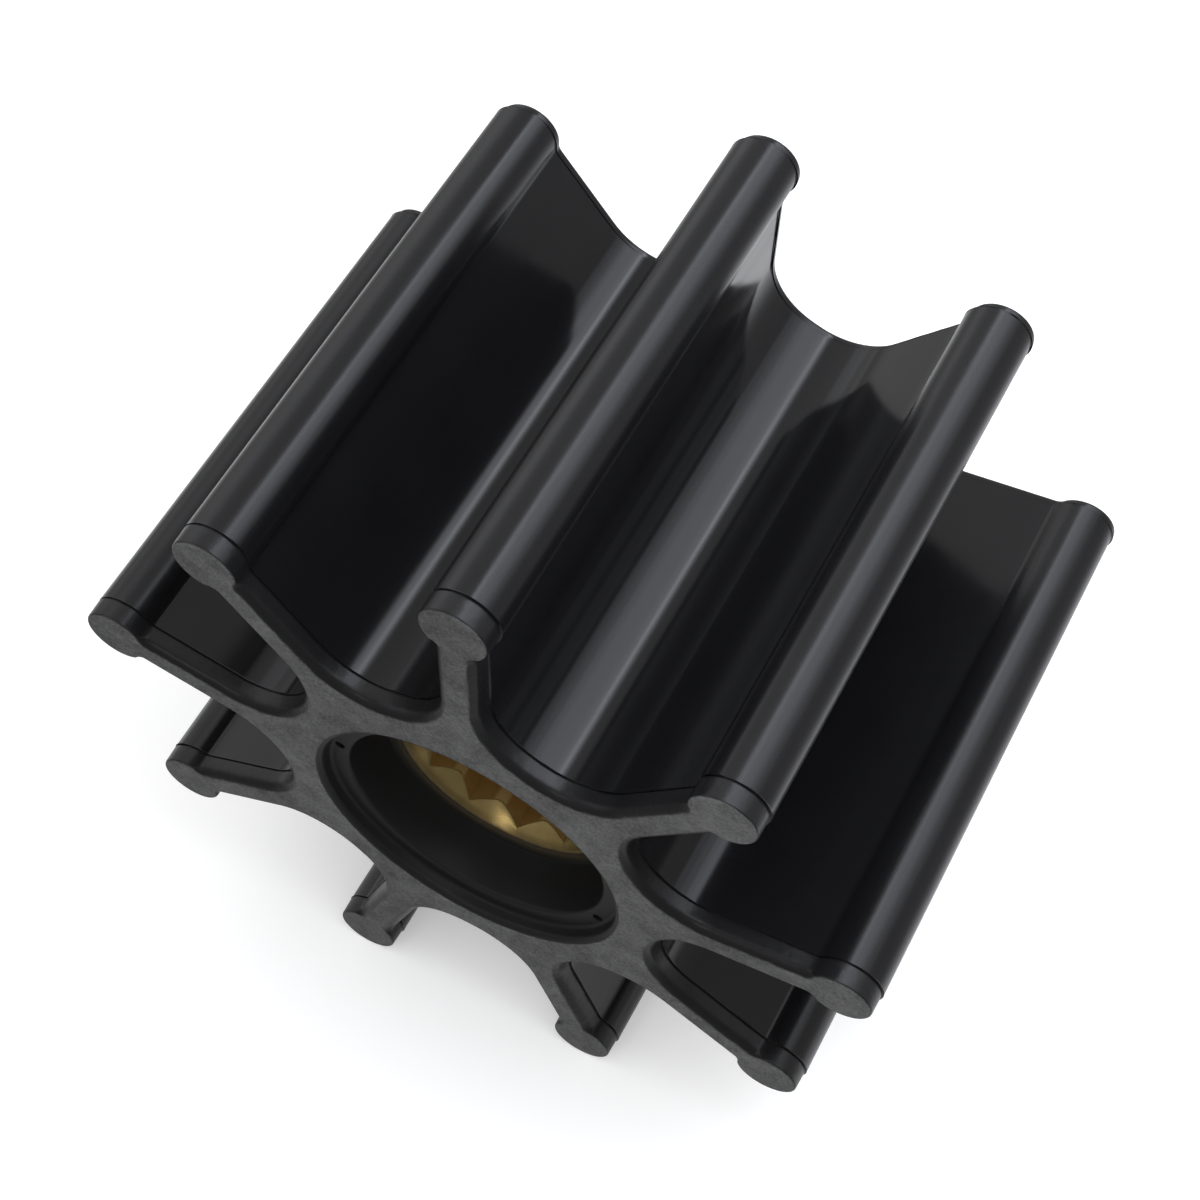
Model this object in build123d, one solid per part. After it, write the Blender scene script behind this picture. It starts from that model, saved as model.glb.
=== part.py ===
"""Flexible rubber pump impeller: a one-piece rubber moulding bonded to a splined brass insert.

Units are millimetres. The shaft axis is Y, the end faces lie at +-WIDTH / 2, one blade points
straight up along +Z, and the impeller rests on the two blades beside straight down.
The origin is on the shaft axis at mid-width.
"""
from build123d import *
import os
from math import cos, radians, sin, tan

# Blades
BLADE_COUNT = 9
FIRST_BLADE_ANGLE = 90.0        # from +X towards +Z: this blade points straight up
TIP_DIAMETER = 95.0             # over the outside of the beads
WIDTH = 65.0                    # end face to end face
BEAD_DIAMETER = 7.6             # round bead along each blade's tip
WEB_THICKNESS = 4.8             # the flexing wall between hub and bead
NECK_RADIUS = 1.2               # hollow corner where web meets bead
EDGE_BREAK = 0.6                # chamfer that softens the outline at each end face

# Hub
HUB_DIAMETER = 46.6             # across the floors of the valleys between blades
ROOT_RADIUS = 8.0               # large hollow at the foot of each blade

# Mouth at each end of the hub
RECESS_DIAMETER = 35.6          # shallow seat for an end plug
RECESS_DEPTH = 1.5
RECESS_LIP = 0.8                # chamfered lip of the recess at the end face
THROAT_DIAMETER = 31.0          # where the throat leaves the recess floor
THROAT_END_DIAMETER = 28.6      # where the tapered throat meets the cover over the insert
THROAT_EDGE = 0.4               # softened edge between recess floor and throat
COVER_THICKNESS = 0.4           # rubber that laps over the end of the insert
COVER_BORE_DIAMETER = 26.8      # opening in that cover
PIN_HOLE_DIAMETER = 1.0         # marks left by the pins that hold the mould core
PIN_HOLE_DEPTH = 2.5
PIN_HOLE_CIRCLE = 33.2
PIN_HOLE_COUNT = 2
FIRST_PIN_HOLE_ANGLE = -20.0

# Brass insert
INSERT_DIAMETER = 34.0
INSERT_LENGTH = 48.6
INSERT_CHAMFER = 0.6
SPLINE_TEETH = 12
SPLINE_ROOT_DIAMETER = 24.2     # across the bottoms of the grooves
SPLINE_CREST_DIAMETER = 22.2    # across the tooth crests
SPLINE_CREST_LAND = 0.5         # flat width left on each crest
FIRST_GROOVE_ANGLE = 6.0
LEAD_IN_DIAMETER = 25.3         # mouth of the countersink that starts the shaft
LEAD_IN_HALF_ANGLE = 33.0

BEAD_CENTRE_RADIUS = (TIP_DIAMETER - BEAD_DIAMETER) / 2
HUB_RADIUS = HUB_DIAMETER / 2
CUT_MARGIN = 1.0                # how far a cutting tool runs past what it cuts
VALLEY_FLAT = 0.98              # keeps a trace of the hub's own circle between two root hollows


def root_radius():
    """The root hollow, limited to what fits between two neighbouring webs."""
    half_pitch = sin(radians(180.0 / BLADE_COUNT))
    full_round = (HUB_RADIUS * half_pitch - WEB_THICKNESS / 2) / (1 - half_pitch)
    return min(ROOT_RADIUS, VALLEY_FLAT * full_round)


def blade_outline():
    """One blade pointing along local X: web and bead as one outline with hollow necks."""
    with BuildSketch(Plane.XZ) as blade:
        with Locations((BEAD_CENTRE_RADIUS / 2, 0)):
            Rectangle(BEAD_CENTRE_RADIUS, WEB_THICKNESS)
        with Locations((BEAD_CENTRE_RADIUS, 0)):
            Circle(BEAD_DIAMETER / 2)
        necks = blade.vertices().filter_by(
            lambda v: HUB_RADIUS < v.X < BEAD_CENTRE_RADIUS
        )
        fillet(necks, NECK_RADIUS)
    return blade.sketch


def impeller_section():
    """Hub disc and all the blades, with the large root hollows between them."""
    blade = blade_outline()
    section = Plane.XZ * Circle(HUB_RADIUS)
    for index in range(BLADE_COUNT):
        angle = FIRST_BLADE_ANGLE + index * 360.0 / BLADE_COUNT
        section += blade.rotate(Axis.Y, -angle)
    roots = section.vertices().filter_by(
        lambda v: abs(Vector(v.X, v.Z).length - HUB_RADIUS) < 0.01
    )
    return fillet(roots, root_radius())


def blade_body():
    """The section through the whole width, its outline softened at both end faces."""
    body = extrude(impeller_section(), amount=WIDTH / 2, both=True)
    end_faces = body.faces().filter_by(Axis.Y)
    return chamfer(end_faces.edges(), EDGE_BREAK)


def mouth_profile():
    """Half section of the space at one end: recess, throat and the opening over the insert."""
    face = WIDTH / 2
    insert_end = INSERT_LENGTH / 2
    floor = face - RECESS_DEPTH
    cover = insert_end + COVER_THICKNESS
    recess = RECESS_DIAMETER / 2
    throat = THROAT_DIAMETER / 2
    with BuildSketch(Plane.XY) as profile:
        with BuildLine():
            Polyline(
                (0, insert_end - CUT_MARGIN),
                (COVER_BORE_DIAMETER / 2, insert_end - CUT_MARGIN),
                (COVER_BORE_DIAMETER / 2, cover),
                (THROAT_END_DIAMETER / 2, cover),
                (throat - THROAT_EDGE / 2, floor - THROAT_EDGE),
                (throat + THROAT_EDGE / 2, floor),
                (recess, floor),
                (recess, face - RECESS_LIP),
                (recess + RECESS_LIP, face),
                (recess + RECESS_LIP, face + CUT_MARGIN),
                (0, face + CUT_MARGIN),
                (0, insert_end - CUT_MARGIN),
            )
        make_face()
    return profile.sketch


def pin_holes():
    """The blind holes in one recess floor."""
    depth = PIN_HOLE_DEPTH + CUT_MARGIN
    middle = WIDTH / 2 - RECESS_DEPTH - PIN_HOLE_DEPTH + depth / 2
    holes = []
    for index in range(PIN_HOLE_COUNT):
        angle = radians(FIRST_PIN_HOLE_ANGLE + index * 360.0 / PIN_HOLE_COUNT)
        x = PIN_HOLE_CIRCLE / 2 * cos(angle)
        z = PIN_HOLE_CIRCLE / 2 * sin(angle)
        hole = Cylinder(PIN_HOLE_DIAMETER / 2, depth, rotation=(90, 0, 0))
        holes.append(Pos(x, middle, z) * hole)
    return holes


def insert_blank():
    """The insert's outside: a plain bush with chamfered ends, which the rubber grips."""
    bush = Cylinder(INSERT_DIAMETER / 2, INSERT_LENGTH, rotation=(90, 0, 0))
    return chamfer(bush.edges().filter_by(GeomType.CIRCLE), INSERT_CHAMFER)


def rubber_impeller():
    """The rubber moulding: hub and blades in one, moulded round the insert."""
    body = blade_body()
    mouth = revolve(mouth_profile(), Axis.Y)
    body -= [mouth, mirror(mouth, Plane.XZ)]
    for hole in pin_holes():
        body -= [hole, mirror(hole, Plane.XZ)]
    return body - insert_blank()


def spline_bore_section():
    """The crest circle with one V groove between each pair of teeth."""
    crest = SPLINE_CREST_DIAMETER / 2
    pitch = 360.0 / SPLINE_TEETH
    land = SPLINE_CREST_LAND / crest
    half_groove = radians(pitch / 2) - land / 2
    shoulder = (crest * cos(half_groove), crest * sin(half_groove))
    groove = Polygon(
        (0, 0),
        (shoulder[0], -shoulder[1]),
        (SPLINE_ROOT_DIAMETER / 2, 0),
        shoulder,
        align=None,
    )
    section = Circle(crest)
    for index in range(SPLINE_TEETH):
        section += Rot(0, 0, FIRST_GROOVE_ANGLE + index * pitch) * groove
    return Plane.XZ * section


def lead_in():
    """The countersink at one end of the insert."""
    mouth = LEAD_IN_DIAMETER / 2
    depth = mouth / tan(radians(LEAD_IN_HALF_ANGLE))
    face = INSERT_LENGTH / 2
    cone = Plane.XY * Polygon((0, face - depth), (mouth, face), (0, face), align=None)
    return revolve(cone, Axis.Y)


def splined_insert():
    """The brass insert: the blank with a straight spline and a lead-in at each end."""
    bore = extrude(spline_bore_section(), amount=INSERT_LENGTH / 2 + CUT_MARGIN, both=True)
    cone = lead_in()
    return insert_blank() - [bore, cone, mirror(cone, Plane.XZ)]


def main():
    os.makedirs("parts", exist_ok=True)
    export_step(rubber_impeller(), "parts/rubber_impeller.step")
    export_step(splined_insert(), "parts/splined_insert.step")


main()
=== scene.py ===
# %% [markdown]
# # A rubber pump impeller
#
# This notebook dresses a flexible impeller: nine rubber blades on a hub, moulded in one piece
# round a brass insert with a splined bore. The construction model holds the true sizes. Here the
# same forms are made again with the fine details of the moulding: the softened outline at each
# end, the witness line where the mould's plates met, and the finishes of rubber and brass.

from math import atan2, cos, pi, radians, sin, sqrt, tan

import bpy
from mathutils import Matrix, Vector


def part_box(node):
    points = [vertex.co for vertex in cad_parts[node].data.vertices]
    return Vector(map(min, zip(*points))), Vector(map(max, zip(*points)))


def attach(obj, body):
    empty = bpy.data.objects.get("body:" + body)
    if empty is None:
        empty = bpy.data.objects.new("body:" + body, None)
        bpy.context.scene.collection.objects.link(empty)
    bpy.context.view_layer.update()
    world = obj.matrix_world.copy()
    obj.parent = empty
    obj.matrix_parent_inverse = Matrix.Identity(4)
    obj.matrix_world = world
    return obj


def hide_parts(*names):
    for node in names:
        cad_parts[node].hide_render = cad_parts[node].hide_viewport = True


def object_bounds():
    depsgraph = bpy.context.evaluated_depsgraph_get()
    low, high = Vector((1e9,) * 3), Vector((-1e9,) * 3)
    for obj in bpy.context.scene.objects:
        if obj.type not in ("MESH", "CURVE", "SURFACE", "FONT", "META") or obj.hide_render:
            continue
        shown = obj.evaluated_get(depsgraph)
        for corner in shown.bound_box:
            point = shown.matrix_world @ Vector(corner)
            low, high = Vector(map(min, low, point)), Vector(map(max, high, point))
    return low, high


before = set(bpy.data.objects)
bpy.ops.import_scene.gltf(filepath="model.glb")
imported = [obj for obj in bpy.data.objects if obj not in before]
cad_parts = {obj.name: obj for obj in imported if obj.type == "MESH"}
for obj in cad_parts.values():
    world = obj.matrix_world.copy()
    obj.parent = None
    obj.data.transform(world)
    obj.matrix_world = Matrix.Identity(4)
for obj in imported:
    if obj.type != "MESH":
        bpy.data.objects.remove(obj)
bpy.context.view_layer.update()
print("nodes:", sorted(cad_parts))

# %% [markdown]
# ## Sizes
#
# The width and the reach of the blades come from the construction model. The rest are the sizes
# of the moulding itself, written in millimetres and turned into Blender's metres by `MM`. The
# shaft axis is Y, and one blade points straight up.

# %% Name the sizes of the moulding
MM = 0.001
_, rubber_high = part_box("rubber_impeller")
HALF_WIDTH = rubber_high[1]
TIP_RADIUS = rubber_high[2]
BLADES = 9
HALF_PITCH = pi / BLADES
BEAD_RADIUS = 3.8 * MM
BEAD_CIRCLE = TIP_RADIUS - BEAD_RADIUS
HALF_WEB = 2.4 * MM
NECK_RADIUS = 1.2 * MM
HUB_RADIUS = 23.3 * MM
ROOT_RADIUS = 8.0 * MM
RECESS_MOUTH_RADIUS = 18.6 * MM
print(f"width {2 * HALF_WIDTH / MM:.1f} mm, diameter {2 * TIP_RADIUS / MM:.1f} mm")

# %% [markdown]
# ## Small helpers for node trees
#
# Both geometry trees and shader trees are built from code. `add` makes one node: a socket given
# as an input is linked, and a plain value is set. `tree_for` makes a geometry tree with named
# inputs, and `make_piece` runs it once and keeps the result as a plain mesh.

# %% Add a node, link it or set its values
def add(tree, kind, inputs=None, **settings):
    """One new node. inputs maps a socket's name or number to a socket or a value."""
    node = tree.nodes.new(kind)
    for name, value in settings.items():
        setattr(node, name, value)
    for key, value in (inputs or {}).items():
        if isinstance(value, bpy.types.NodeSocket):
            tree.links.new(value, node.inputs[key])
        else:
            node.inputs[key].default_value = value
    return node


def maths(tree, operation, first, second=0.0, third=0.0):
    """A Math node's result."""
    values = {0: first, 1: second, 2: third}
    return add(tree, "ShaderNodeMath", values, operation=operation).outputs[0]


def scaled(tree, vector, factor):
    """A vector times a number."""
    values = {0: vector, "Scale": factor}
    return add(tree, "ShaderNodeVectorMath", values, operation="SCALE").outputs[0]


# %% Make a tree with named inputs, and a piece from it
def tree_for(name, sockets):
    """A geometry tree with one geometry output and the named inputs."""
    tree = bpy.data.node_groups.new(name, "GeometryNodeTree")
    sides = tree.interface
    made = sides.new_socket("Geometry", in_out="OUTPUT", socket_type="NodeSocketGeometry")
    for label, kind in sockets.items():
        sides.new_socket(label, in_out="INPUT", socket_type="NodeSocket" + kind)
    given = tree.nodes.new("NodeGroupInput")
    result = tree.nodes.new("NodeGroupOutput")
    print(f"tree {name}: inputs {', '.join(sockets)}")
    return tree, given.outputs, result.inputs[made.name]


def make_piece(name, tree, values, mesh):
    """Runs a tree once on this mesh and keeps its result as a plain mesh object."""
    carrier = bpy.data.objects.new(name + "_carrier", mesh)
    bpy.context.scene.collection.objects.link(carrier)
    modifier = carrier.modifiers.new("shape", "NODES")
    modifier.node_group = tree
    for item in tree.interface.items_tree:
        if item.name in values:
            modifier[item.identifier] = values[item.name]
    evaluated = carrier.evaluated_get(bpy.context.evaluated_depsgraph_get())
    result = bpy.data.meshes.new_from_object(evaluated)
    bpy.data.objects.remove(carrier)
    piece = bpy.data.objects.new(name, result)
    bpy.context.scene.collection.objects.link(piece)
    print(f"{name}: {len(result.polygons)} faces")
    return piece


def attribute(tree, name):
    """A number that the mesh carries at each point under this name."""
    values = {"Name": name}
    return add(tree, "GeometryNodeInputNamedAttribute", values, data_type="FLOAT").outputs[0]


# %% [markdown]
# ## The outline of one blade
#
# Every blade has the same outline, so only one is drawn: from the middle of one valley, up
# the blade, round the bead and down to the middle of the next valley. It has five stretches, all
# tangent: the hub's circle, the large root hollow, the flat web, the small hollow at the neck and
# the round bead. Each point carries the direction out of the rubber, how much the outline is
# rounded there at the end faces, and its partner: the place on the recess's rim or on the blade's
# middle line that the flat end face runs to from there.

# %% Work out where the arcs meet
root_side = HALF_WEB + ROOT_RADIUS
root_up = sqrt((HUB_RADIUS + ROOT_RADIUS) ** 2 - root_side**2)
root_angle = atan2(root_side, root_up)
neck_side = HALF_WEB + NECK_RADIUS
neck_up = BEAD_CIRCLE - sqrt((BEAD_RADIUS + NECK_RADIUS) ** 2 - neck_side**2)
bead_end = atan2(neck_side, neck_up - BEAD_CIRCLE)
print(f"web from {root_up / MM:.1f} to {neck_up / MM:.1f} mm from the axis")


def arc(centre, radius, start, end, steps, hollow=False):
    """Points of an arc as (up, side, out_up, out_side), after its first point."""
    facing = -1 if hollow else 1
    points = []
    for step in range(1, steps + 1):
        angle = start + (end - start) * step / steps
        out = (cos(angle), sin(angle))
        place = (centre[0] + radius * out[0], centre[1] + radius * out[1])
        points.append((*place, facing * out[0], facing * out[1]))
    return points


# %% Draw half the outline, from the valley's middle to the tip
HUB_STEPS = 2
ROOT_STEPS = 14
WEB_STEPS = 8
NECK_STEPS = 5
BEAD_STEPS = 16
valley = (cos(HALF_PITCH), sin(HALF_PITCH))
half = [(HUB_RADIUS * valley[0], HUB_RADIUS * valley[1], *valley)]
half += arc((0, 0), HUB_RADIUS, HALF_PITCH, root_angle, HUB_STEPS)
root_start, root_end = root_angle - pi, -pi / 2
half += arc((root_up, root_side), ROOT_RADIUS, root_start, root_end, ROOT_STEPS, hollow=True)
for step in range(1, WEB_STEPS + 1):
    half.append((root_up + (neck_up - root_up) * step / WEB_STEPS, HALF_WEB, 0, 1))
neck_end = bead_end - pi
half += arc((neck_up, neck_side), NECK_RADIUS, root_end, neck_end, NECK_STEPS, hollow=True)
half += arc((BEAD_CIRCLE, 0), BEAD_RADIUS, bead_end, 0, BEAD_STEPS)
print(f"half outline: {len(half)} points")


# %% Give each point its edge rounding and its partner
# the rounding at an end face, first on the hub and the web, then on the bead
FRONT_EDGES = (1.3 * MM, 0.3 * MM)
REAR_EDGES = (0.45 * MM, 0.4 * MM)
# the first points have partners on the recess's rim, the next climb to the blade's middle line
RIM_STEPS = 10
CLIMB_STEPS = HUB_STEPS + ROOT_STEPS - RIM_STEPS
WEB_END = HUB_STEPS + ROOT_STEPS + WEB_STEPS
# inside the bead the middle line is a little shorter than the bead, so no face is a sliver
BEAD_LINE = 0.75


def edge_at(number, web_edge, bead_edge):
    """The rounding at an end face, on hub and web and on the bead, blended along the neck."""
    along_neck = min(max((number - WEB_END) / NECK_STEPS, 0), 1)
    return web_edge + (bead_edge - web_edge) * along_neck


def partner_at(number):
    """The partner's place as (up, side)."""
    if number <= RIM_STEPS:
        angle = HALF_PITCH * (1 - number / RIM_STEPS)
        return RECESS_MOUTH_RADIUS * cos(angle), RECESS_MOUTH_RADIUS * sin(angle)
    if number <= RIM_STEPS + CLIMB_STEPS:
        share = (number - RIM_STEPS) / CLIMB_STEPS
        return RECESS_MOUTH_RADIUS + (root_up - RECESS_MOUTH_RADIUS) * share, 0
    up = half[number][0]
    if number > WEB_END + NECK_STEPS:
        up = BEAD_CIRCLE + BEAD_LINE * (up - BEAD_CIRCLE)
    return up, 0


def both_sides(values):
    """The half outline's values, then the same mirrored to the blade's other side."""
    right = [(side, 0, up) for up, side in values]
    left = [(-x, y, z) for x, y, z in right]
    return right + left[-2::-1]


places = both_sides([point[:2] for point in half])
directions = both_sides([point[2:] for point in half])
partners = both_sides([partner_at(number) for number in range(len(half))])
edge_lists = []
for web_edge, bead_edge in (FRONT_EDGES, REAR_EDGES):
    edges = [edge_at(number, web_edge, bead_edge) for number in range(len(half))]
    edge_lists.append(edges + edges[-2::-1])
front_edges, rear_edges = edge_lists
print(f"blade outline: {len(places)} points")

# %% [markdown]
# ## How the moulding changes from end to end
#
# The outline is swept along the shaft axis. A real moulding isn't the same all the way: the edges
# at the end faces are rounded, the end plates of the mould leave a band that is drawn in a little
# so that it comes free, and a thin seam with a trace of flash runs round where the plates met. The
# front plate made a deep band with soft edges and the rear one only a narrow, faint band. A short
# list of stations says this: how deep each one lies behind the end face, how much of the edge
# rounding is left there, how far the outline is drawn in, and whether it is the flash's crest.

# %% List the stations from an end face to the middle
ROUND_STEPS = 6
MIDDLE_STEPS = 14
DRAFT = 0.14 * MM
SEAM_HALF = 0.07 * MM
FLASH_OUT = 0.02 * MM
FRONT_SEAM = 2.4 * MM
FRONT_SEAM_CUT = 0.14 * MM
REAR_SEAM = 0.95 * MM
REAR_SEAM_CUT = 0.08 * MM


def stations(seam, seam_cut):
    """Stations as (depth, share of edge in depth, share of edge inwards, drawn in, flash)."""
    rows = []
    for step in range(ROUND_STEPS + 1):
        turn = step / ROUND_STEPS * pi / 2
        rows.append((0, 1 - cos(turn), 1 - sin(turn), DRAFT, 0))
    for offset, drawn, flash in (
        (-2.5, 0.6 * DRAFT, 0),  # the end plate's band, up to the seam
        (-1, 0.7 * DRAFT, 0),
        (-0.4, seam_cut, 0),  # the seam's groove
        (0.4, seam_cut, 0),
        (0.9, -FLASH_OUT, 1),  # the crest of the flash
        (1.8, 0, 0),  # what the middle of the mould formed
        (3, 0, 0),
    ):
        rows.append((seam + offset * SEAM_HALF, 0, 0, drawn, flash))
    for step in range(1, MIDDLE_STEPS + 1):
        depth = seam + (HALF_WIDTH - seam) * step / MIDDLE_STEPS
        rows.append((depth, 0, 0, 0, 0))
    return rows


front_stations = stations(FRONT_SEAM, FRONT_SEAM_CUT)
rear_stations = stations(REAR_SEAM, REAR_SEAM_CUT)
print(f"{len(front_stations)} stations from each end face to the middle")

# %% [markdown]
# ## The mouth of the hub
#
# At each end the hub has a shallow recess, where some pumps seat a plug or a sealing ring, and
# then a smooth tapered throat down to the brass. The same list of points, as radius and depth
# behind the end face, draws it for both ends. It starts with a soft lip. Behind the thin rubber
# cover over the insert's end it turns out and follows the insert's outside, so the moulding is
# closed.

# %% Draw the mouth from the lip to the insert's outside
LIP = 0.75 * MM
LIP_STEPS = 4
# radius and depth, in millimetres
RECESS_WALL = ((17.80, 1.45), (17.74, 1.65), (17.58, 1.80), (17.30, 1.85))
RECESS_FLOOR = ((16.10, 1.87), (15.85, 1.92), (15.66, 2.02), (15.54, 2.20))
THROAT = ((15.48, 2.50), (14.90, 5.20), (14.45, 7.65), (14.38, 7.82), (14.20, 7.90))
COVER = ((13.60, 7.93), (13.10, 7.97), (13.02, 8.05), (13.00, 8.20))
ROUND_INSERT = ((17.00, 8.20), (17.00, 8.90))
mouth = []
for step in range(1, LIP_STEPS + 1):
    turn = step / LIP_STEPS * pi / 2
    mouth.append((RECESS_MOUTH_RADIUS - LIP * sin(turn), LIP * (1 - cos(turn))))
for radius, depth in RECESS_WALL + RECESS_FLOOR + THROAT + COVER + ROUND_INSERT:
    mouth.append((radius * MM, depth * MM))
print(f"mouth: {len(mouth)} points")

# %% [markdown]
# ## One pitch of the moulding
#
# One ninth of the moulding is enough, because the rest repeats it. Its mesh is a sheet of faces
# over the mouth's wall, the end face and the blade. Columns run along the outline. Rows run from
# each end face to the middle, where the weld in the next step joins the front to the rear.

# %% Lay out the rows of one pitch
def drawn_in(place, out, inward):
    """An outline point moved into the rubber, as (side, up)."""
    return place[0] - out[0] * inward, place[2] - out[2] * inward


def blade_row(edges, depth, rounding, cut, drawn):
    """One row round the outline. rounding and cut share out each point's own edge rounding."""
    row = []
    for place, out, edge in zip(places, directions, edges):
        x, z = drawn_in(place, out, cut * edge + drawn)
        row.append((x, depth + rounding * edge, z))
    return row


def face_row(edges, share, inward):
    """A row on the end face, part of the way from the outline to the partner points."""
    row = []
    for place, out, edge, partner in zip(places, directions, edges, partners):
        x, z = drawn_in(place, out, edge + DRAFT + inward)
        row.append((x + (partner[0] - x) * share, 0, z + (partner[2] - z) * share))
    return row


def mouth_row(radius, depth):
    """A row round the mouth, for this pitch's share of the circle."""
    row = []
    for step in range(2 * RIM_STEPS + 1):
        angle = HALF_PITCH * (1 - step / RIM_STEPS)
        row.append((radius * sin(angle), depth, radius * cos(angle)))
    return row


# %% Collect rows and the faces between them
class Sheet:
    """The points and faces of one pitch, put in row by row."""

    def __init__(self):
        self.points, self.faces, self.flash = [], [], []

    def put(self, row, rear, flash=0):
        """Adds a row and returns its vertex numbers."""
        first = len(self.points)
        for x, depth, z in row:
            y = HALF_WIDTH - depth
            self.points.append((x, y if rear else -y, z))
            self.flash.append(float(flash))
        return list(range(first, len(self.points)))

    def join(self, upper, lower, rear):
        """Faces between two rows of the same length."""
        for left in range(len(upper) - 1):
            corners = (upper[left], upper[left + 1], lower[left + 1], lower[left])
            self.faces.append(corners if rear else corners[::-1])


# %% Join the rows into the mesh of one pitch
# a narrow ring of faces on the end face keeps the shading of the rounded edge beside it crisp
FACE_RING = 0.25 * MM


def pitch_mesh(name):
    """One pitch: end face, blade and mouth, first for the front half and then for the rear."""
    sheet = Sheet()
    for rear, rows, edges in (
        (False, front_stations, front_edges),
        (True, rear_stations, rear_edges),
    ):
        inner = sheet.put(face_row(edges, 1, 0), rear)
        row = sheet.put(face_row(edges, 0, FACE_RING), rear)
        sheet.join(inner, row, rear)
        for depth, rounding, cut, drawn, flash in rows:
            lower = sheet.put(blade_row(edges, depth, rounding, cut, drawn), rear, flash)
            sheet.join(row, lower, rear)
            row = lower
        rim = sheet.put(mouth_row(RECESS_MOUTH_RADIUS, 0), rear)
        for radius, depth in mouth + [(mouth[-1][0], HALF_WIDTH)]:
            lower = sheet.put(mouth_row(radius, depth), rear)
            sheet.join(lower, rim, rear)
            rim = lower
    mesh = bpy.data.meshes.new(name)
    mesh.from_pydata(sheet.points, [], sheet.faces)
    layer = mesh.attributes.new("flash", "FLOAT", "POINT")
    layer.data.foreach_set("value", sheet.flash)
    print(f"{name}: {len(sheet.points)} points, {len(sheet.faces)} faces")
    return mesh


# %% [markdown]
# ## Repeating round the shaft
#
# A pattern that turns about an axis is a job for Geometry Nodes: the tree puts one point for each
# copy, turns an instance on each by its index, makes them real and welds the seams. Both the nine
# blades and the twelve teeth of the spline use this helper. Edges that bend sharply stay crisp and
# everything else is shaded smooth.

# %% Helpers for both trees
WELD = 0.002 * MM


def repeated(tree, geometry, count):
    """Copies of a geometry turned about the shaft in equal steps and welded."""
    index = add(tree, "GeometryNodeInputIndex").outputs[0]
    turn = maths(tree, "MULTIPLY", index, maths(tree, "DIVIDE", 2 * pi, count))
    turns = add(tree, "ShaderNodeCombineXYZ", {"Y": turn}).outputs[0]
    spots = add(tree, "GeometryNodePoints", {"Count": count}).outputs[0]
    values = {"Points": spots, "Instance": geometry, "Rotation": turns}
    copies = add(tree, "GeometryNodeInstanceOnPoints", values).outputs[0]
    solid = add(tree, "GeometryNodeRealizeInstances", {"Geometry": copies}).outputs[0]
    values = {"Geometry": solid, "Distance": WELD}
    return add(tree, "GeometryNodeMergeByDistance", values).outputs[0]


def finished(tree, geometry, crease, material):
    """Smooth shading with crisp edges, then the material."""
    solid = add(tree, "GeometryNodeRealizeInstances", {"Geometry": geometry}).outputs[0]
    smooth = add(tree, "GeometryNodeSetShadeSmooth", {"Geometry": solid}).outputs[0]
    bend = add(tree, "GeometryNodeInputMeshEdgeAngle").outputs["Unsigned Angle"]
    sharp = add(tree, "FunctionNodeCompare", {0: bend, 1: crease}, operation="GREATER_THAN")
    values = {"Geometry": smooth, "Selection": sharp.outputs[0], "Shade Smooth": False}
    edged = add(tree, "GeometryNodeSetShadeSmooth", values, domain="EDGE").outputs[0]
    values = {"Geometry": edged, "Material": material}
    return add(tree, "GeometryNodeSetMaterial", values).outputs[0]


# %% Raise the flash along the seam
# the noise's grains in one metre, and the part of its range that raises flash
FLASH_PATCHES = 320.0
FLASH_FROM, FLASH_FULL = 0.52, 0.8


def with_flash(tree, body, height, seed):
    """Pushes the crest of the seam out by an uneven amount, most of it nearly nothing."""
    place = add(tree, "GeometryNodeInputPosition").outputs[0]
    normal = add(tree, "GeometryNodeInputNormal").outputs[0]
    values = {"Vector": place, "W": seed, "Scale": FLASH_PATCHES, "Detail": 2.0}
    uneven = add(tree, "ShaderNodeTexNoise", values, noise_dimensions="4D").outputs[0]
    values = {"Value": uneven, 1: FLASH_FROM, 2: FLASH_FULL, 3: 0.0, 4: 1.0}
    some = add(tree, "ShaderNodeMapRange", values).outputs[0]
    crest = attribute(tree, "flash")
    reach = maths(tree, "MULTIPLY", maths(tree, "MULTIPLY", some, crest), height)
    values = {"Geometry": body, "Offset": scaled(tree, normal, reach)}
    return add(tree, "GeometryNodeSetPosition", values).outputs[0]


# %% Shift what each end plate formed, because it sat a little off
# between these radii the shift grows from nothing to its whole, so the mouth stays round
SHIFT_FROM = RECESS_MOUTH_RADIUS + 0.3 * MM
SHIFT_FULL = HUB_RADIUS - 1 * MM


def plate_shifted(tree, body, seam, shift, end):
    """Moves what one end plate formed, outside the hub's mouth. end is -1 at the front."""
    place = add(tree, "GeometryNodeInputPosition").outputs[0]
    across, along, up = add(tree, "ShaderNodeSeparateXYZ", {0: place}).outputs
    limit = maths(tree, "SUBTRACT", HALF_WIDTH, seam)
    beyond = maths(tree, "GREATER_THAN", maths(tree, "MULTIPLY", along, float(end)), limit)
    squares = maths(tree, "MULTIPLY_ADD", up, up, maths(tree, "MULTIPLY", across, across))
    radius = maths(tree, "SQRT", squares)
    values = {"Value": radius, 1: SHIFT_FROM, 2: SHIFT_FULL, 3: 0.0, 4: 1.0}
    outside = add(tree, "ShaderNodeMapRange", values).outputs[0]
    share = maths(tree, "MULTIPLY", beyond, outside)
    values = {"Geometry": body, "Offset": scaled(tree, shift, share)}
    return add(tree, "GeometryNodeSetPosition", values).outputs[0]


# %% Drill the pin marks
PIN_SIDES = 20


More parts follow.
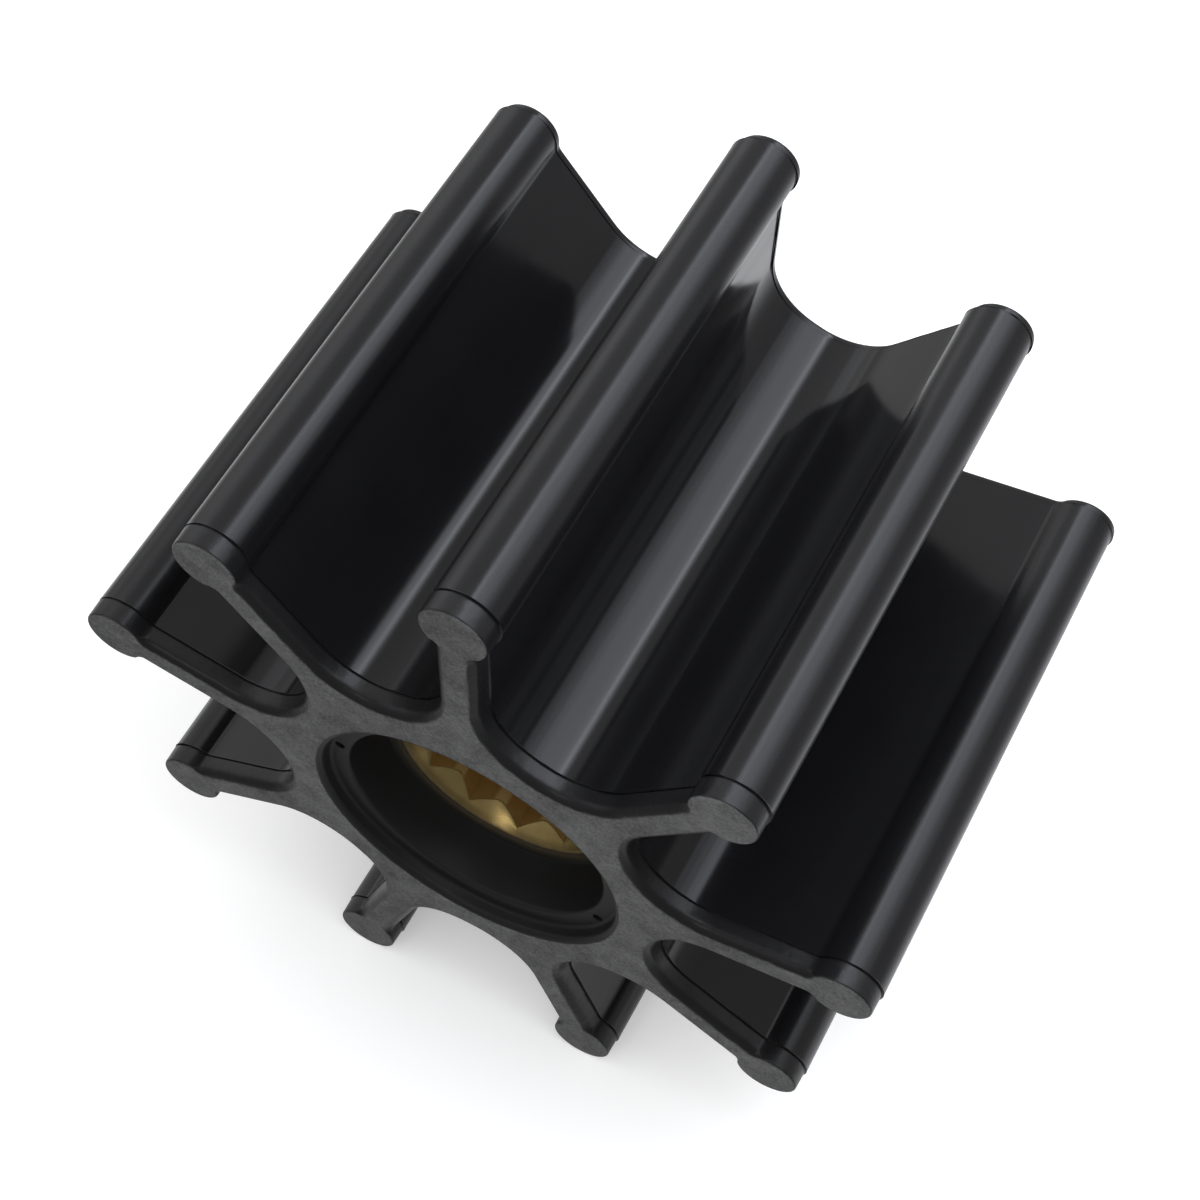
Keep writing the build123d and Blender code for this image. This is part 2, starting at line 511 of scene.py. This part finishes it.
def drilled(tree, body, given):
    """The body with the marks of the core pins sunk in both recess floors."""
    index = add(tree, "GeometryNodeInputIndex").outputs[0]
    angle = maths(tree, "MULTIPLY_ADD", index, given["Pin spread"], given["First pin"])
    across = maths(tree, "MULTIPLY", maths(tree, "COSINE", angle), given["Pin circle"])
    up = maths(tree, "MULTIPLY", maths(tree, "SINE", angle), given["Pin circle"])
    values = {"X": across, "Y": given["Pin floor"], "Z": up}
    place = add(tree, "ShaderNodeCombineXYZ", values).outputs[0]
    values = {"Count": given["Pin marks"], "Position": place}
    rear = add(tree, "GeometryNodePoints", values).outputs[0]
    values = {"Geometry": rear, "Scale": (1, -1, 1)}
    front = add(tree, "GeometryNodeTransform", values).outputs[0]
    spots = add(tree, "GeometryNodeJoinGeometry")
    tree.links.new(rear, spots.inputs[0])
    tree.links.new(front, spots.inputs[0])
    length = maths(tree, "MULTIPLY", given["Pin depth"], 2.0)
    values = {"Vertices": PIN_SIDES, "Radius": given["Pin radius"], "Depth": length}
    pin = add(tree, "GeometryNodeMeshCylinder", values).outputs["Mesh"]
    values = {"Points": spots.outputs[0], "Instance": pin, "Rotation": (pi / 2, 0, 0)}
    pins = add(tree, "GeometryNodeInstanceOnPoints", values).outputs[0]
    drills = add(tree, "GeometryNodeRealizeInstances", {"Geometry": pins}).outputs[0]
    values = {"Mesh 1": body, "Mesh 2": drills}
    return add(tree, "GeometryNodeMeshBoolean", values, operation="DIFFERENCE").outputs[0]


# %% The tree of the rubber moulding
def moulding_tree():
    """Nine pitches welded into one moulding, with its flash, shifted ends and pin marks."""
    sizes = {
        "Pitch": "Geometry", "Blades": "Int", "Flash": "Float", "Flash seed": "Int",
        "Front seam": "Float", "Rear seam": "Float", "Front shift": "Vector",
        "Rear shift": "Vector", "Pin marks": "Int", "First pin": "Float", "Pin spread": "Float",
        "Pin circle": "Float", "Pin floor": "Float", "Pin radius": "Float", "Pin depth": "Float",
        "Crease": "Float", "Rubber": "Material",
    }
    tree, given, result = tree_for("moulding", sizes)
    body = repeated(tree, given["Pitch"], given["Blades"])
    body = with_flash(tree, body, given["Flash"], given["Flash seed"])
    body = plate_shifted(tree, body, given["Front seam"], given["Front shift"], -1)
    body = plate_shifted(tree, body, given["Rear seam"], given["Rear shift"], 1)
    body = drilled(tree, body, given)
    tree.links.new(finished(tree, body, given["Crease"], given["Rubber"]), result)
    return tree


# %% [markdown]
# ## The brass insert
#
# The rubber grips a brass bush with a splined bore: twelve straight V grooves that leave twelve
# teeth, and a countersink that guides the shaft in. A cone cut across such grooves leaves a row
# of rounded hills, because it runs deeper down each tooth than down each groove. So one tooth's
# columns each follow the cone to the depth where they meet the spline and then run straight.

# %% Measure the insert and draw one tooth
_, insert_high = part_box("splined_insert")
INSERT_RADIUS = insert_high[0]
INSERT_HALF = insert_high[1]
TEETH = 12
GROOVE_RADIUS = 12.1 * MM
CREST_RADIUS = 11.1 * MM
CREST_HALF = 0.25 * MM
LEAD_IN_RADIUS = 12.65 * MM
LEAD_IN_SLOPE = tan(radians(33))
FIRST_GROOVE = radians(6)
INSERT_CHAMFER = 0.6 * MM
# columns down a tooth's flank, in twelfths, closer together at the crest and the groove
FLANK_COLUMNS = (0, 0.5, 2, 4, 6, 8, 10, 11.4, 12)
crest_turn = CREST_HALF / CREST_RADIUS
tooth_pitch = 2 * pi / TEETH


def flank_point(share):
    """A point on the straight flank: share 0 at the crest's edge, 1 at the groove's bottom."""
    groove_turn = tooth_pitch / 2
    start = Vector((CREST_RADIUS * cos(crest_turn), CREST_RADIUS * sin(crest_turn)))
    end = Vector((GROOVE_RADIUS * cos(groove_turn), GROOVE_RADIUS * sin(groove_turn)))
    point = start.lerp(end, share)
    return point.length, atan2(point.y, point.x)


half_tooth = [(CREST_RADIUS, 0.0), (CREST_RADIUS, crest_turn * 0.8)]
half_tooth += [flank_point(column / 12) for column in FLANK_COLUMNS]
tooth = [(radius, -angle) for radius, angle in half_tooth[:0:-1]] + half_tooth
print(f"insert {2 * INSERT_HALF / MM:.1f} mm long, {len(tooth)} columns to a tooth")


# %% Build the mesh of one tooth's share of the insert
FACE_EDGE = LEAD_IN_RADIUS + 0.12 * MM
# rows down the cone as shares of its depth, and rows on the spline by how far they lie past it
CONE_ROWS = (0.04, 0.3, 0.6, 0.97)
SPLINE_ROWS = (0.05 * MM, 2 * MM)


def tooth_mesh(name):
    """One pitch of the insert: chamfer, end face, lead-in cone and spline, at both ends."""
    middle = FIRST_GROOVE + tooth_pitch / 2
    points = []

    def ring(y, radii):
        """A row at this y, or at each column's own y."""
        for column, (radius, (_, angle)) in enumerate(zip(radii, tooth)):
            turn = middle + angle
            along = y[column] if isinstance(y, list) else y
            points.append((radius * cos(turn), along, radius * sin(turn)))

    spline = [radius for radius, _ in tooth]
    cone_depth = [(LEAD_IN_RADIUS - radius) / LEAD_IN_SLOPE for radius in spline]
    whole = [INSERT_RADIUS] * len(tooth)
    ring(0, whole)
    ring(-INSERT_HALF + INSERT_CHAMFER, whole)
    ring(-INSERT_HALF, [INSERT_RADIUS - INSERT_CHAMFER] * len(tooth))
    ring(-INSERT_HALF, [FACE_EDGE] * len(tooth))
    for share in CONE_ROWS:
        radii = [LEAD_IN_RADIUS + (radius - LEAD_IN_RADIUS) * share for radius in spline]
        ring([-INSERT_HALF + depth * share for depth in cone_depth], radii)
    for past in SPLINE_ROWS:
        ring([-INSERT_HALF + depth + past for depth in cone_depth], spline)
    ring(0, spline)
    rows = len(points) // len(tooth)
    count = len(points)
    points += [(x, -y, z) for x, y, z in points]
    faces = []
    for row in range(rows - 1):
        for column in range(len(tooth) - 1):
            first = row * len(tooth) + column
            corners = (first, first + 1, first + 1 + len(tooth), first + len(tooth))
            faces.append(corners)
            faces.append(tuple(corner + count for corner in corners[::-1]))
    mesh = bpy.data.meshes.new(name)
    mesh.from_pydata(points, [], faces)
    print(f"{name}: {len(points)} points, {len(faces)} faces")
    return mesh


# %% The tree of the insert
def insert_tree():
    """Twelve teeth welded into the insert."""
    sizes = {"Tooth": "Geometry", "Teeth": "Int", "Crease": "Float", "Brass": "Material"}
    tree, given, result = tree_for("insert", sizes)
    body = repeated(tree, given["Tooth"], given["Teeth"])
    tree.links.new(finished(tree, body, given["Crease"], given["Brass"]), result)
    return tree


# %% [markdown]
# ## Rubber
#
# Black nitrile or chloroprene rubber is coloured with carbon black, so it has almost no colour of
# its own: what the eye reads is its gloss. The moulded sides copy a polished mould and are smooth,
# with faint streaks along the shaft. The beads are a little duller. The end faces are matte and
# greyer, with a fine grain, and the band at the front is satin and a little lumpy. The hub's mouth
# is dull, and the bonding agent has stained it brown next to the brass. One material does them
# all, because they are one moulding: it tells the zones apart by the distance from an end face
# and from the shaft's axis.

# %% Start a material
def new_material(name, view_colour):
    """A material with its shader and its Object coordinates."""
    material = bpy.data.materials.new(name)
    material.use_nodes = True
    material.diffuse_color = (*view_colour, 1)
    tree = material.node_tree
    shader = tree.nodes["Principled BSDF"]
    place = add(tree, "ShaderNodeTexCoord").outputs["Object"]
    return material, tree, shader, place


def noise(tree, place, scale, detail=3.0, roughness=0.5, stretch=(1, 1, 1)):
    """A noise pattern's value. scale counts its grains in one metre."""
    spot = add(tree, "ShaderNodeMapping", {"Vector": place, "Scale": stretch}).outputs[0]
    values = {"Vector": spot, "Scale": scale, "Detail": detail, "Roughness": roughness}
    return add(tree, "ShaderNodeTexNoise", values).outputs["Fac"]


def ramp(tree, value, low, high, to_low=0.0, to_high=1.0, smooth=True):
    """A value taken from one range to another and held at its ends."""
    values = {"Value": value, 1: low, 2: high, 3: to_low, 4: to_high}
    kind = "SMOOTHSTEP" if smooth else "LINEAR"
    return add(tree, "ShaderNodeMapRange", values, interpolation_type=kind).outputs[0]


def blend_colours(tree, factor, first, second):
    """A mix of two colours."""
    node = add(tree, "ShaderNodeMix", {0: factor, 6: first, 7: second}, data_type="RGBA")
    return node.outputs[2]


def blend_values(tree, factor, first, second):
    """A mix of two numbers."""
    return add(tree, "ShaderNodeMix", {0: factor, 2: first, 3: second}).outputs[0]


def bumped(tree, height, strength, distance, under=None):
    """A bump from a height pattern, laid over an earlier one."""
    values = {"Height": height, "Strength": strength, "Distance": distance}
    if under is not None:
        values["Normal"] = under
    return add(tree, "ShaderNodeBump", values).outputs[0]


# %% Measure where a spot lies
def measured(tree, place, half_length):
    """A spot's distance from the axis, from the front end and from the nearest end."""
    across, along, up = add(tree, "ShaderNodeSeparateXYZ", {0: place}).outputs
    flat = add(tree, "ShaderNodeCombineXYZ", {"X": across, "Z": up}).outputs[0]
    radius = add(tree, "ShaderNodeVectorMath", {0: flat}, operation="LENGTH").outputs["Value"]
    front_depth = maths(tree, "ADD", along, half_length)
    rear_depth = maths(tree, "SUBTRACT", half_length, along)
    return radius, front_depth, maths(tree, "MINIMUM", front_depth, rear_depth)


# %% Tell the rubber's zones apart
COVER_EDGE = 13.0 * MM
THROAT_END = 14.45 * MM
LIP_START = RECESS_MOUTH_RADIUS - 0.3 * MM
LIP_WANDER = 0.2 * MM
LIP_BLEND = 0.2 * MM
# how deep the matte finish reaches over the edge of an end face
MATTE_REACH = (0.09 * MM, 0.17 * MM)


def rubber_zones(tree, place):
    """How far a spot belongs to each zone, from 0 to 1. outside means outside the mouth."""
    radius, front_depth, depth = measured(tree, place, HALF_WIDTH)
    lip = maths(tree, "MULTIPLY_ADD", noise(tree, place, 700), LIP_WANDER, LIP_START)
    outside = ramp(tree, maths(tree, "SUBTRACT", radius, lip), 0.0, LIP_BLEND)
    on_band = maths(tree, "LESS_THAN", front_depth, FRONT_SEAM)
    reach = ramp(tree, noise(tree, place, 600), 0.3, 0.7, *MATTE_REACH, smooth=False)
    below = ramp(tree, maths(tree, "DIVIDE", depth, reach), 0.1, 1.2)
    return {
        "outside": outside,
        "band": maths(tree, "MULTIPLY", on_band, outside),
        "face": maths(tree, "MULTIPLY", maths(tree, "SUBTRACT", 1.0, below), outside),
        "bead": ramp(tree, radius, BEAD_CIRCLE - BEAD_RADIUS, BEAD_CIRCLE - 0.6 * BEAD_RADIUS),
        "near_brass": ramp(tree, radius, COVER_EDGE, THROAT_END, 1.0, 0.0),
    }


# %% Colour the rubber
SIDE_TONES = (0.0045, 0.0045, 0.0050, 1), (0.0068, 0.0068, 0.0075, 1)
FACE_TONES = (0.036, 0.036, 0.0365, 1), (0.118, 0.119, 0.119, 1)
BAND_TONE = (0.0080, 0.0080, 0.0086, 1)
MOUTH_TONE = (0.0085, 0.0085, 0.0087, 1)
BONDED_TONE = (0.034, 0.026, 0.013, 1)


def rubber_tone(tree, place, zones, grain):
    """Nearly black on the sides, grey and mottled on the end faces, brown next to the brass."""
    blotch = ramp(tree, noise(tree, place, 420), 0.35, 0.65, smooth=False)
    mottle = maths(tree, "MULTIPLY_ADD", grain, 0.7, maths(tree, "MULTIPLY", blotch, 0.3))
    worn = ramp(tree, noise(tree, place, 60, detail=2), 0.3, 0.7, -0.14, 0.14, smooth=False)
    mottle = maths(tree, "ADD", mottle, worn)
    tone = blend_colours(tree, noise(tree, place, 160), *SIDE_TONES)
    tone = blend_colours(tree, zones["band"], tone, BAND_TONE)
    tone = blend_colours(tree, zones["outside"], MOUTH_TONE, tone)
    face_tone = blend_colours(tree, mottle, *FACE_TONES)
    tone = blend_colours(tree, zones["face"], tone, face_tone)
    return blend_colours(tree, zones["near_brass"], tone, BONDED_TONE)


# %% Give the rubber its gloss
VALLEY_ROUGH = (0.12, 0.18)
BEAD_ROUGH = (0.22, 0.30)
BAND_ROUGH = 0.33
MOUTH_ROUGH = 0.42
BONDED_ROUGH = 0.6
FACE_ROUGH = 0.75


def rubber_roughness(tree, place, zones):
    """Glossy and streaked on the sides, satin on the band, and dull on the ends."""
    streak = noise(tree, place, 420, stretch=(1, 0.06, 1))
    valley = ramp(tree, streak, 0.3, 0.75, *VALLEY_ROUGH)
    bead = ramp(tree, streak, 0.3, 0.75, *BEAD_ROUGH)
    rough = blend_values(tree, zones["bead"], valley, bead)
    rough = blend_values(tree, zones["band"], rough, BAND_ROUGH)
    rough = blend_values(tree, zones["outside"], MOUTH_ROUGH, rough)
    rough = blend_values(tree, zones["near_brass"], rough, BONDED_ROUGH)
    return blend_values(tree, zones["face"], rough, FACE_ROUGH)


# %% Make the rubber
RUBBER_GLOSS = 0.31


def rubber_material():
    """Matte on the end faces, satin on the front band and glossy on the moulded sides."""
    material, tree, shader, place = new_material("rubber", (0.02, 0.02, 0.022))
    zones = rubber_zones(tree, place)
    grain = noise(tree, place, 3400, detail=4, roughness=0.6)
    grain = ramp(tree, grain, 0.3, 0.7, smooth=False)
    tree.links.new(rubber_tone(tree, place, zones, grain), shader.inputs["Base Color"])
    tree.links.new(rubber_roughness(tree, place, zones), shader.inputs["Roughness"])
    pitted = maths(tree, "MULTIPLY", grain, zones["face"])
    normal = bumped(tree, pitted, strength=0.35, distance=0.03 * MM)
    lumps = maths(tree, "MULTIPLY", noise(tree, place, 800, detail=2), zones["band"])
    normal = bumped(tree, lumps, strength=0.7, distance=0.09 * MM, under=normal)
    waves = noise(tree, place, 90, detail=2, stretch=(1, 0.3, 1))
    normal = bumped(tree, waves, strength=0.12, distance=0.25 * MM, under=normal)
    tree.links.new(normal, shader.inputs["Normal"])
    shader.inputs["Specular IOR Level"].default_value = RUBBER_GLOSS
    print(f"rubber: {len(tree.nodes)} nodes")
    return material


# %% [markdown]
# ## Brass
#
# The insert is turned and broached from yellow brass. The lead-in cone is cut last and looks
# pale. Past it the grooves are a deeper orange, because light that gets down there has met brass
# several times, and the crests of the teeth are painted brighter, as a painted highlight. A thin
# film dulls all of it, so the metal is mixed with some plain colour. The bonding agent leaves a
# brown rim on the end face, painted dark: partly a stain and partly painted shade.
# Fine turning marks run round the axis.

# %% Colour the brass
GROOVE_TONES = (0.37, 0.222, 0.062, 1), (0.48, 0.305, 0.100, 1)
# painted highlight: the crests of the teeth are painted brighter than the grooves
CREST_HIGHLIGHT_TONE = (0.62, 0.46, 0.20, 1)
CONE_TONES = (0.31, 0.218, 0.074, 1), (0.48, 0.360, 0.150, 1)
# the cone is mixed with a plain dark colour towards its outer rim, next to the rubber
OUTER_RIM_DARK_TONE = (0.13, 0.09, 0.03, 1)
# partly a stain, partly painted shade: the dark brown of the rim on the end face
STAIN_AND_SHADE_TONE = (0.050, 0.036, 0.016, 1)
OUTER_RIM_DARK_RADII = (12.0 * MM, 12.5 * MM)
OUTER_RIM_DARK_MOST = 0.62
# the rim, partly a stain and partly painted shade, starts between these radii, by how tarnished a
# spot is
STAIN_AND_SHADE_RADII = (12.38 * MM, 12.46 * MM)


def brass_tone(tree, place):
    """The colour, and how far a spot belongs to the end face's rim, stained and painted with
    shade, and to the bore.
    """
    radius, _, depth = measured(tree, place, INSERT_HALF)
    tarnish = noise(tree, place, 700, detail=4)
    past_cone = maths(tree, "MULTIPLY_ADD", depth, LEAD_IN_SLOPE, radius)
    past_cone = maths(tree, "SUBTRACT", past_cone, LEAD_IN_RADIUS)
    bore = ramp(tree, past_cone, 0.03 * MM, 0.15 * MM)
    # where the painted highlight on the crests of the teeth lies
    crest = ramp(tree, radius, CREST_RADIUS + 0.05 * MM, CREST_RADIUS + 0.2 * MM, 1.0, 0.0)
    groove_metal = blend_colours(tree, tarnish, *GROOVE_TONES)
    bore_metal = blend_colours(tree, crest, groove_metal, CREST_HIGHLIGHT_TONE)
    cone_metal = blend_colours(tree, tarnish, *CONE_TONES)
    # darker towards the cone's outer rim
    darker_outer_rim = ramp(tree, radius, *OUTER_RIM_DARK_RADII, 0.0, OUTER_RIM_DARK_MOST)
    cone_metal = blend_colours(tree, darker_outer_rim, cone_metal, OUTER_RIM_DARK_TONE)
    metal = blend_colours(tree, bore, cone_metal, bore_metal)
    stain_and_shade_start = ramp(tree, tarnish, 0.3, 0.7, *STAIN_AND_SHADE_RADII)
    # the end face's rim, darkened partly by a stain and partly by painted shade
    stain_and_shade = ramp(tree, maths(tree, "SUBTRACT", radius, stain_and_shade_start), 0.0, 0.4 * MM)
    return blend_colours(tree, stain_and_shade, metal, STAIN_AND_SHADE_TONE), stain_and_shade, bore


# %% Make the brass
CONE_ROUGH = 0.27
BORE_ROUGH = 0.42
STAIN_ROUGH = 0.6
CLEAN_METAL = 0.78
STAINED_METAL = 0.1


def brass_material():
    """Turned brass, bright on the cone, with a painted highlight on the teeth, and brown on the
    end face, where a stain and painted shade darken it.
    """
    material, tree, shader, place = new_material("brass", (0.6, 0.45, 0.18))
    tone, stain_and_shade, bore = brass_tone(tree, place)
    metal = blend_values(tree, stain_and_shade, CLEAN_METAL, STAINED_METAL)
    rough = blend_values(tree, bore, CONE_ROUGH, BORE_ROUGH)
    rough = blend_values(tree, stain_and_shade, rough, STAIN_ROUGH)
    marks = noise(tree, place, 500, detail=2, stretch=(0.15, 12, 0.15))
    tree.links.new(tone, shader.inputs["Base Color"])
    tree.links.new(metal, shader.inputs["Metallic"])
    tree.links.new(rough, shader.inputs["Roughness"])
    normal = bumped(tree, marks, strength=0.25, distance=0.03 * MM)
    tree.links.new(normal, shader.inputs["Normal"])
    print(f"brass: {len(tree.nodes)} nodes")
    return material


# %% Make the two pieces and put them in the frame
rubber = rubber_material()
brass = brass_material()
recess_depth = RECESS_FLOOR[0][1] * MM
moulding_sizes = {
    "Blades": BLADES,
    "Flash": 0.25 * MM,
    "Flash seed": 3,
    "Front seam": FRONT_SEAM,
    "Rear seam": REAR_SEAM,
    "Front shift": (-0.10 * MM, 0.0, -0.05 * MM),
    "Rear shift": (0.26 * MM, 0.0, -0.08 * MM),
    "Pin marks": 2,
    "First pin": radians(-25),
    "Pin spread": radians(191),
    "Pin circle": 16.8 * MM,
    "Pin floor": HALF_WIDTH - recess_depth,
    "Pin radius": 0.6 * MM,
    "Pin depth": 0.4 * MM,
    "Crease": radians(40),
    "Rubber": rubber,
}
moulding = make_piece("moulding", moulding_tree(), moulding_sizes, pitch_mesh("pitch"))
insert_sizes = {"Teeth": TEETH, "Crease": radians(25), "Brass": brass}
insert = make_piece("brass_insert", insert_tree(), insert_sizes, tooth_mesh("tooth"))
for piece, node, slot in (
    (moulding, "rubber_impeller", "rubber"),
    (insert, "splined_insert", "brass"),
):
    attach(piece, "root")
    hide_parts(node)

# %% [markdown]
# ## Floor and light
#
# The impeller lies on a white table. The table's own colour is pale, and the light path gives
# camera and mirror rays a little extra, so it reads white round a soft shadow.
#
# Black rubber shows little but what it mirrors, so the light is set by its reflections. The room
# is white for everything else, but for mirror rays it is dimmer in front and to the right, as in a
# studio with dark curtains there. So is the table, in front of the impeller and far from it. A
# panel hangs close over the blades and draws the highlight down each bead. It is brightest near
# its left edge and fades to the right, so it is made of strips that lie side by side: lamps that
# overlap would hide each other from mirror rays. A card lifts the left sides, and a small lamp in
# front catches the brass.

# %% Make the table's surface
TABLE_TONE = (0.82, 0.82, 0.82, 1)
TABLE_GLOW = 0.3
# what mirror rays get back: less of the far table, and less of what lies before the front end
POOL_RADII, POOL_LEVELS = (0.08, 0.25), (0.8, 0.4)
FRONT_REACH, FRONT_LEVELS = (-0.050, -0.020), (0.3, 1.0)


def floor_material():
    """Pale, and lifted to white for the camera and for reflections."""
    material = bpy.data.materials.new("table")
    material.use_nodes = True
    tree = material.node_tree
    tree.nodes.remove(tree.nodes["Principled BSDF"])
    path = add(tree, "ShaderNodeLightPath").outputs
    seen = maths(tree, "ADD", path["Is Camera Ray"], path["Is Glossy Ray"])
    seen = maths(tree, "ADD", seen, path["Is Transmission Ray"])
    seen = maths(tree, "MINIMUM", seen, 1.0)
    place = add(tree, "ShaderNodeTexCoord").outputs["Object"]
    away = add(tree, "ShaderNodeVectorMath", {0: place}, operation="LENGTH").outputs["Value"]
    along = add(tree, "ShaderNodeSeparateXYZ", {0: place}).outputs["Y"]
    pool = ramp(tree, away, *POOL_RADII, *POOL_LEVELS)
    nearer = ramp(tree, along, *FRONT_REACH, *FRONT_LEVELS)
    lost = maths(tree, "SUBTRACT", 1.0, maths(tree, "MULTIPLY", pool, nearer))
    kept = maths(tree, "SUBTRACT", 1.0, maths(tree, "MULTIPLY", lost, path["Is Glossy Ray"]))
    shade = blend_colours(tree, kept, (0, 0, 0, 1), TABLE_TONE)
    pale = add(tree, "ShaderNodeBsdfDiffuse", {"Color": shade}).outputs[0]
    lift = maths(tree, "MULTIPLY", maths(tree, "MULTIPLY", seen, TABLE_GLOW), kept)
    glow = add(tree, "ShaderNodeEmission", {"Color": (1, 1, 1, 1), "Strength": lift}).outputs[0]
    both = add(tree, "ShaderNodeAddShader", {0: pale, 1: glow}).outputs[0]
    tree.links.new(both, tree.nodes["Material Output"].inputs["Surface"])
    print(f"table: {len(tree.nodes)} nodes")
    return material


# %% Lay the table under the impeller
TABLE_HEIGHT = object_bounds()[0][2]
TABLE_REACH = 3.0
corners = ((-1, -1), (1, -1), (1, 1), (-1, 1))
table_corners = [(x * TABLE_REACH, y * TABLE_REACH, TABLE_HEIGHT) for x, y in corners]
floor_mesh = bpy.data.meshes.new("table")
floor_mesh.from_pydata(table_corners, [], [(0, 1, 2, 3)])
floor_mesh.materials.append(floor_material())
floor = bpy.data.objects.new("table", floor_mesh)
bpy.context.scene.collection.objects.link(floor)
print(f"table {-TABLE_HEIGHT / MM:.1f} mm below the shaft's axis")

# %% Light the room
SIDE_REACH, SIDE_LEVELS = (-0.9, 0.85), (0.9, 0.5)
BEFORE_REACH, BEFORE_LEVELS = (-0.45, 0.1), (0.3, 1.0)
world = bpy.data.worlds.new("room")
bpy.context.scene.world = world
world.use_nodes = True
room = world.node_tree
room_path = add(room, "ShaderNodeLightPath").outputs
backdrop = room.nodes["Background"]
backdrop.inputs["Color"].default_value = (1, 1, 1, 1)
direction = add(room, "ShaderNodeTexCoord").outputs["Generated"]
rightward, backward, _ = add(room, "ShaderNodeSeparateXYZ", {0: direction}).outputs
beside = ramp(room, rightward, *SIDE_REACH, *SIDE_LEVELS)
before = ramp(room, backward, *BEFORE_REACH, *BEFORE_LEVELS)
mirrored = maths(room, "MULTIPLY", beside, before)
level = blend_values(room, room_path["Is Glossy Ray"], 1.0, mirrored)
room.links.new(level, backdrop.inputs["Strength"])
print(f"mirrored room: {SIDE_LEVELS[0]} on the left, {SIDE_LEVELS[1]} on the right")


# %% Hang the soft lamps
COOL_WHITE = (0.88, 0.91, 1.0)
WARM_WHITE = (1.0, 0.98, 0.95)


def softbox(name, centre, size, level, turns, colour=COOL_WHITE):
    """A soft lamp of this width, length and brightness, turned from facing straight down."""
    lamp = bpy.data.lights.new(name, "AREA")
    lamp.shape = "RECTANGLE"
    lamp.size, lamp.size_y = size
    lamp.energy = level * pi * size[0] * size[1]
    lamp.color = colour
    box = bpy.data.objects.new(name, lamp)
    box.location = centre
    box.rotation_euler = [radians(turn) for turn in turns]
    box.visible_camera = False
    bpy.context.scene.collection.objects.link(box)


PANEL_HEIGHT = 0.155
PANEL_MIDDLE = 0.09
PANEL_LENGTH = 0.30
# each strip's right edge in millimetres, and its level
PANEL_STRIPS = ((9, 2.2), (19, 7.2), (40, 3.1), (85, 2.75), (110, 2.1), (150, 1.15), (210, 0.7))
left = 0
for right, level in PANEL_STRIPS:
    centre = ((left + right) / 2 * MM, PANEL_MIDDLE, PANEL_HEIGHT)
    softbox(f"panel_{left}", centre, ((right - left) * MM, PANEL_LENGTH), level, (0, 0, 0))
    left = right
print(f"panel {left} mm wide, {PANEL_HEIGHT / MM:.0f} mm above the axis")
softbox("left_card", centre=(-0.10, 0.05, 0.085), size=(0.05, 0.30), level=0.5, turns=(0, -61, 0))
softbox(
    "front", centre=(-0.12, -0.544, 0.576), size=(0.15, 0.14), level=3.8,
    turns=(43.4, 0, -12.6), colour=WARM_WHITE,
)

# %% [markdown]
# ## The camera
#
# The camera stands close, above the front end and to its right, so the near blades look larger
# than the far ones. It is level but for a slight roll, and looks down along the blades.

# %% Set the camera
SENSOR_WIDTH = 36
LENS = 69.02
CAMERA_PLACE = Vector((56.61, -119.95, 223.69)) * MM
CAMERA_TURNS = (30.923, -1.432, 28.068)
camera_data = bpy.data.cameras.new("camera")
camera_data.sensor_width = SENSOR_WIDTH
camera_data.lens = LENS
camera = bpy.data.objects.new("camera", camera_data)
camera.location = CAMERA_PLACE
camera.rotation_euler = [radians(turn) for turn in CAMERA_TURNS]
bpy.context.scene.collection.objects.link(camera)
bpy.context.scene.camera = camera
bpy.context.scene.view_settings.view_transform = "Standard"
print(f"camera {camera.location.length / MM:.0f} mm from the middle of the impeller")
